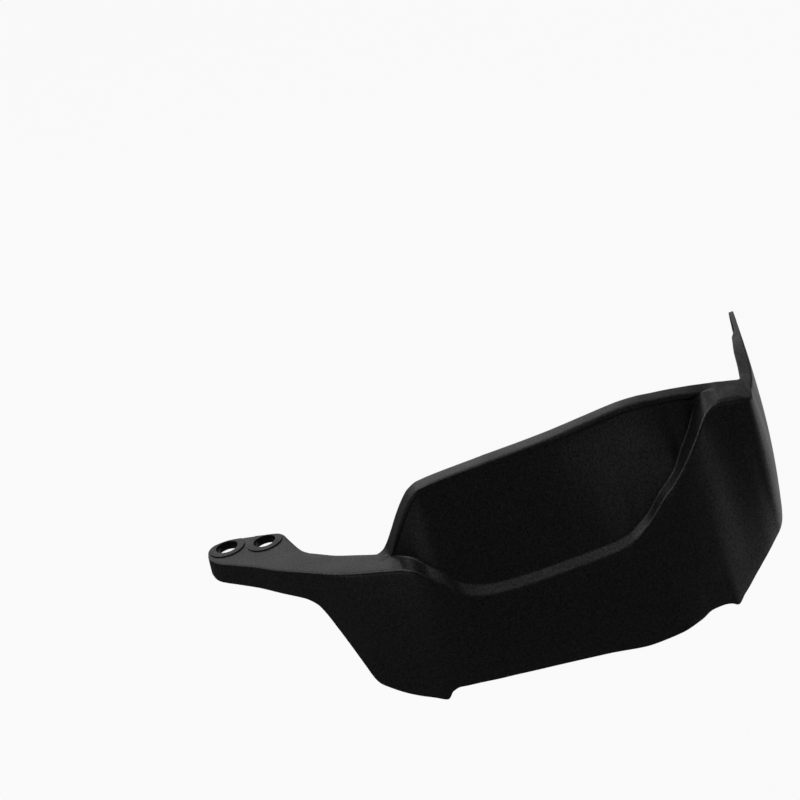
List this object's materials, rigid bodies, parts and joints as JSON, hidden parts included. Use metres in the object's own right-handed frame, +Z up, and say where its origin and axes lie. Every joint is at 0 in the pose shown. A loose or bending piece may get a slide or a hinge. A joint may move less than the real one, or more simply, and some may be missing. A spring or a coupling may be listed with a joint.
{
  "type": "motorcycle hand guard",
  "caption": "Moulded plastic shell that shields the left hand on a motorcycle handlebar, with a bolt plate at the lever perch and a strap to the bar end.",
  "frame": {"origin": "midway between the centres of the two bolt holes, on the top face of the arm", "axes": "+X outward along the grip to the bar end, +Y rearward to the rider, +Z up, square to the arm's top face"},
  "size_m": [0.2867, 0.1315, 0.1248],
  "materials": {
    "hand_guard": "fine moulded grain, satin"
  },
  "bodies": {
    "root": {"hand_guard": "hand_guard"}
  },
  "joints": []
}
